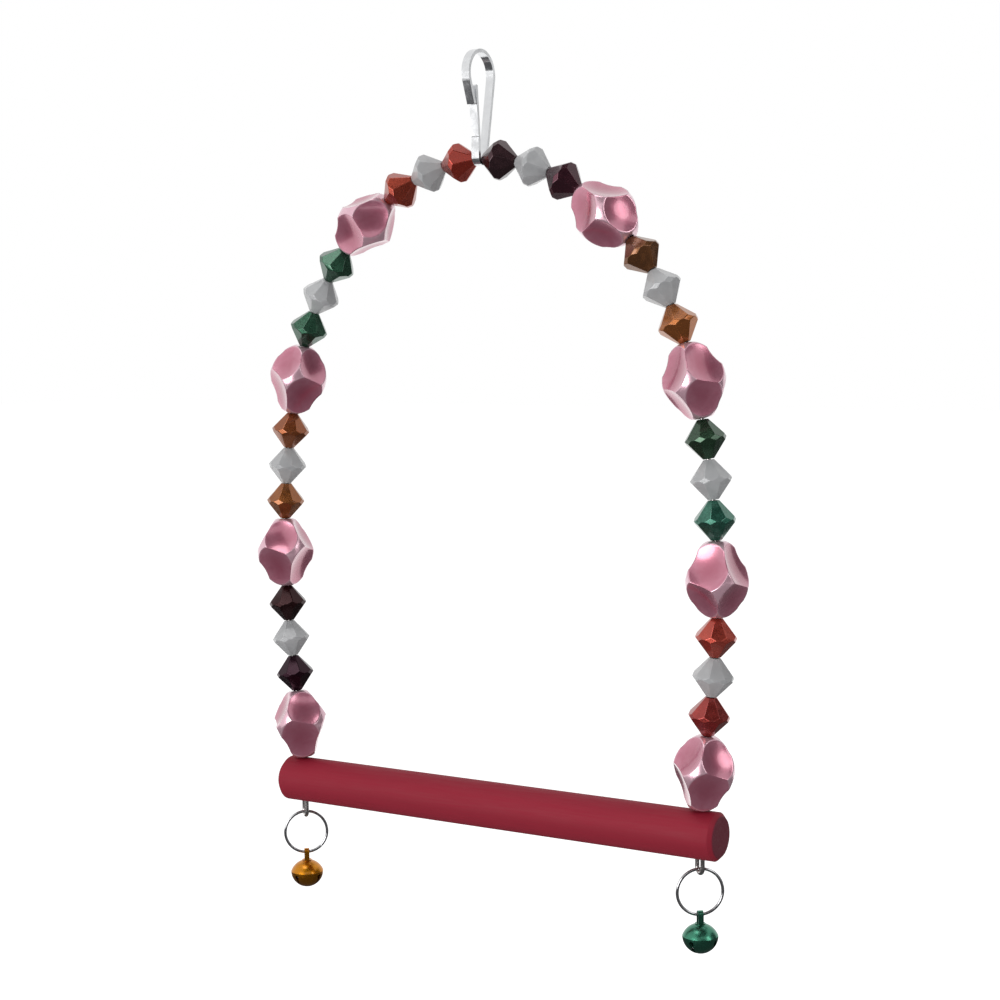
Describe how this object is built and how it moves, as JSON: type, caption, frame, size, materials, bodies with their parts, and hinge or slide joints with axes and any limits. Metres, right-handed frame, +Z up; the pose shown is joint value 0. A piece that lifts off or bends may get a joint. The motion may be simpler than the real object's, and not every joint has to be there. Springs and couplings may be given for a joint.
{
  "type": "bird swing",
  "caption": "Hanging swing for a small cage bird: a sprung clip, a beaded wire arch, a round wooden perch and a ring with a bell under each end.",
  "frame": {"origin": "inside of the top bend of the clip, where the cage wire bears", "axes": "+Z up, X along the perch, -Y to the front"},
  "size_m": [0.1203, 0.0128, 0.1856],
  "materials": {
    "clip_steel": "bright nickel plate",
    "wire_steel": "plain bright wire",
    "red_wood": "dyed red, matt",
    "pearl_pink": "pearl",
    "bead_plum": "gloss",
    "bead_frost": "frosted pearl grey",
    "bead_brown": "metallic gloss",
    "bead_amber": "metallic gloss",
    "bead_green": "gloss with flake",
    "bead_teal": "gloss with flake",
    "bead_red": "metallic gloss",
    "bead_rust": "metallic gloss",
    "bell_gold": "bright gold",
    "bell_green": "bright green lacquer",
    "ball_steel": "plain"
  },
  "bodies": {
    "clip": {"hook_body": "clip_steel"},
    "tongue": {"hook_tongue": "clip_steel"},
    "arch": {"arch_wire": "wire_steel", "perch": "red_wood"},
    "oval_1": {"oval_bead_1": "pearl_pink"},
    "oval_2": {"oval_bead_2": "pearl_pink"},
    "oval_3": {"oval_bead_3": "pearl_pink"},
    "oval_4": {"oval_bead_4": "pearl_pink"},
    "oval_5": {"oval_bead_5": "pearl_pink"},
    "oval_6": {"oval_bead_6": "pearl_pink"},
    "oval_7": {"oval_bead_7": "pearl_pink"},
    "oval_8": {"oval_bead_8": "pearl_pink"},
    "cone_01": {"cone_bead_01": "bead_plum"},
    "cone_02": {"cone_bead_02": "bead_frost"},
    "cone_03": {"cone_bead_03": "bead_plum"},
    "cone_04": {"cone_bead_04": "bead_brown"},
    "cone_05": {"cone_bead_05": "bead_frost"},
    "cone_06": {"cone_bead_06": "bead_amber"},
    "cone_07": {"cone_bead_07": "bead_green"},
    "cone_08": {"cone_bead_08": "bead_frost"},
    "cone_09": {"cone_bead_09": "bead_teal"},
    "cone_10": {"cone_bead_10": "bead_red"},
    "cone_11": {"cone_bead_11": "bead_frost"},
    "cone_12": {"cone_bead_12": "bead_red"},
    "cone_13": {"cone_bead_13": "bead_rust"},
    "cone_14": {"cone_bead_14": "bead_frost"},
    "cone_15": {"cone_bead_15": "bead_rust"},
    "cone_16": {"cone_bead_16": "bead_green"},
    "cone_17": {"cone_bead_17": "bead_frost"},
    "cone_18": {"cone_bead_18": "bead_green"},
    "cone_19": {"cone_bead_19": "bead_amber"},
    "cone_20": {"cone_bead_20": "bead_frost"},
    "cone_21": {"cone_bead_21": "bead_amber"},
    "cone_22": {"cone_bead_22": "bead_plum"},
    "cone_23": {"cone_bead_23": "bead_frost"},
    "cone_24": {"cone_bead_24": "bead_plum"},
    "ring_left": {"ring_left": "wire_steel"},
    "bell_left": {"bell_shell_left": "bell_gold", "bell_loop_left": "bell_gold"},
    "ball_left": {"bell_ball_left": "ball_steel"},
    "ring_right": {"ring_right": "wire_steel"},
    "bell_right": {"bell_shell_right": "bell_green", "bell_loop_right": "bell_green"},
    "ball_right": {"bell_ball_right": "ball_steel"}
  },
  "joints": [
    {"name": "arch_swing", "type": "hinge", "parent": "clip", "child": "arch", "pos_m": [0, 0, -0.022], "axis": [1, 0, 0], "range_deg": [-60, 60]},
    {"name": "tongue_spring", "type": "hinge", "parent": "clip", "child": "tongue", "pos_m": [0, -0.00143, -0.01725], "axis": [-1, 0, 0], "range_deg": [0, 20], "stiffness_Nm_per_rad": 0.15, "springref_deg": -2.86},
    {"name": "ring_left_swing", "type": "hinge", "parent": "arch", "child": "ring_left", "pos_m": [-0.04957, -0.00075, -0.16815], "axis": [0.6428, -0.766, 0], "range_deg": [-45, 45]},
    {"name": "ring_right_swing", "type": "hinge", "parent": "arch", "child": "ring_right", "pos_m": [0.04957, 0.00075, -0.16815], "axis": [0.6428, -0.766, 0], "range_deg": [-45, 45]},
    {"name": "bell_left_swing", "type": "hinge", "parent": "ring_left", "child": "bell_left", "pos_m": [-0.04957, -0.00075, -0.17685], "axis": [0.766, 0.6428, 0], "range_deg": [-80, 80]},
    {"name": "bell_right_swing", "type": "hinge", "parent": "ring_right", "child": "bell_right", "pos_m": [0.04957, 0.00075, -0.17685], "axis": [0.766, 0.6428, 0], "range_deg": [-80, 80]},
    {"name": "ball_left_roll", "type": "hinge", "parent": "bell_left", "child": "ball_left", "pos_m": [-0.04957, -0.00075, -0.1812], "axis": [0.766, 0.6428, 0], "range_deg": [-60, 60]},
    {"name": "ball_right_roll", "type": "hinge", "parent": "bell_right", "child": "ball_right", "pos_m": [0.04957, 0.00075, -0.1812], "axis": [0.766, 0.6428, 0], "range_deg": [-60, 60]},
    {"name": "oval_1_spin", "type": "hinge", "parent": "arch", "child": "oval_1", "pos_m": [0.02962, 0, -0.03443], "axis": [-0.7485, 0, 0.6632], "continuous": true},
    {"name": "oval_2_spin", "type": "hinge", "parent": "arch", "child": "oval_2", "pos_m": [0.04924, 0, -0.06811], "axis": [-0.2321, 0, 0.9727], "continuous": true},
    {"name": "oval_3_spin", "type": "hinge", "parent": "arch", "child": "oval_3", "pos_m": [0.05402, 0, -0.10747], "axis": [-0.0071, 0, 1], "continuous": true},
    {"name": "oval_4_spin", "type": "hinge", "parent": "arch", "child": "oval_4", "pos_m": [0.05081, 0, -0.14705], "axis": [0.0895, 0, 0.996], "continuous": true},
    {"name": "oval_5_spin", "type": "hinge", "parent": "arch", "child": "oval_5", "pos_m": [-0.02962, 0, -0.03443], "axis": [0.7485, 0, 0.6632], "continuous": true},
    {"name": "oval_6_spin", "type": "hinge", "parent": "arch", "child": "oval_6", "pos_m": [-0.04924, 0, -0.06811], "axis": [0.2321, 0, 0.9727], "continuous": true},
    {"name": "oval_7_spin", "type": "hinge", "parent": "arch", "child": "oval_7", "pos_m": [-0.05402, 0, -0.10747], "axis": [0.0071, 0, 1], "continuous": true},
    {"name": "oval_8_spin", "type": "hinge", "parent": "arch", "child": "oval_8", "pos_m": [-0.05081, 0, -0.14705], "axis": [-0.0895, 0, 0.996], "continuous": true},
    {"name": "cone_01_spin", "type": "hinge", "parent": "arch", "child": "cone_01", "pos_m": [0.00496, 0, -0.02239], "axis": [-0.9926, 0, 0.1214], "continuous": true},
    {"name": "cone_02_spin", "type": "hinge", "parent": "arch", "child": "cone_02", "pos_m": [0.01284, 0, -0.02416], "axis": [-0.9495, 0, 0.3138], "continuous": true},
    {"name": "cone_03_spin", "type": "hinge", "parent": "arch", "child": "cone_03", "pos_m": [0.02021, 0, -0.02743], "axis": [-0.8694, 0, 0.4941], "continuous": true},
    {"name": "cone_04_spin", "type": "hinge", "parent": "arch", "child": "cone_04", "pos_m": [0.03774, 0, -0.0429], "axis": [-0.6086, 0, 0.7935], "continuous": true},
    {"name": "cone_05_spin", "type": "hinge", "parent": "arch", "child": "cone_05", "pos_m": [0.04222, 0, -0.04963], "axis": [-0.4991, 0, 0.8665], "continuous": true},
    {"name": "cone_06_spin", "type": "hinge", "parent": "arch", "child": "cone_06", "pos_m": [0.04579, 0, -0.05688], "axis": [-0.381, 0, 0.9246], "continuous": true},
    {"name": "cone_07_spin", "type": "hinge", "parent": "arch", "child": "cone_07", "pos_m": [0.05165, 0, -0.07964], "axis": [-0.1661, 0, 0.9861], "continuous": true},
    {"name": "cone_08_spin", "type": "hinge", "parent": "arch", "child": "cone_08", "pos_m": [0.05281, 0, -0.08765], "axis": [-0.1203, 0, 0.9927], "continuous": true},
    {"name": "cone_09_spin", "type": "hinge", "parent": "arch", "child": "cone_09", "pos_m": [0.0536, 0, -0.09571], "axis": [-0.0743, 0, 0.9972], "continuous": true},
    {"name": "cone_10_spin", "type": "hinge", "parent": "arch", "child": "cone_10", "pos_m": [0.05376, 0, -0.11924], "axis": [0.0602, 0, 0.9982], "continuous": true},
    {"name": "cone_11_spin", "type": "hinge", "parent": "arch", "child": "cone_11", "pos_m": [0.05309, 0, -0.12731], "axis": [0.1063, 0, 0.9943], "continuous": true},
    {"name": "cone_12_spin", "type": "hinge", "parent": "arch", "child": "cone_12", "pos_m": [0.05217, 0, -0.13536], "axis": [0.1132, 0, 0.9936], "continuous": true},
    {"name": "cone_13_spin", "type": "hinge", "parent": "arch", "child": "cone_13", "pos_m": [-0.00496, 0, -0.02239], "axis": [0.9926, 0, 0.1214], "continuous": true},
    {"name": "cone_14_spin", "type": "hinge", "parent": "arch", "child": "cone_14", "pos_m": [-0.01284, 0, -0.02416], "axis": [0.9495, 0, 0.3138], "continuous": true},
    {"name": "cone_15_spin", "type": "hinge", "parent": "arch", "child": "cone_15", "pos_m": [-0.02021, 0, -0.02743], "axis": [0.8694, 0, 0.4941], "continuous": true},
    {"name": "cone_16_spin", "type": "hinge", "parent": "arch", "child": "cone_16", "pos_m": [-0.03774, 0, -0.0429], "axis": [0.6086, 0, 0.7935], "continuous": true},
    {"name": "cone_17_spin", "type": "hinge", "parent": "arch", "child": "cone_17", "pos_m": [-0.04222, 0, -0.04963], "axis": [0.4991, 0, 0.8665], "continuous": true},
    {"name": "cone_18_spin", "type": "hinge", "parent": "arch", "child": "cone_18", "pos_m": [-0.04579, 0, -0.05688], "axis": [0.381, 0, 0.9246], "continuous": true},
    {"name": "cone_19_spin", "type": "hinge", "parent": "arch", "child": "cone_19", "pos_m": [-0.05165, 0, -0.07964], "axis": [0.1661, 0, 0.9861], "continuous": true},
    {"name": "cone_20_spin", "type": "hinge", "parent": "arch", "child": "cone_20", "pos_m": [-0.05281, 0, -0.08765], "axis": [0.1203, 0, 0.9927], "continuous": true},
    {"name": "cone_21_spin", "type": "hinge", "parent": "arch", "child": "cone_21", "pos_m": [-0.0536, 0, -0.09571], "axis": [0.0743, 0, 0.9972], "continuous": true},
    {"name": "cone_22_spin", "type": "hinge", "parent": "arch", "child": "cone_22", "pos_m": [-0.05376, 0, -0.11924], "axis": [-0.0602, 0, 0.9982], "continuous": true},
    {"name": "cone_23_spin", "type": "hinge", "parent": "arch", "child": "cone_23", "pos_m": [-0.05309, 0, -0.12731], "axis": [-0.1063, 0, 0.9943], "continuous": true},
    {"name": "cone_24_spin", "type": "hinge", "parent": "arch", "child": "cone_24", "pos_m": [-0.05217, 0, -0.13536], "axis": [-0.1132, 0, 0.9936], "continuous": true}
  ]
}
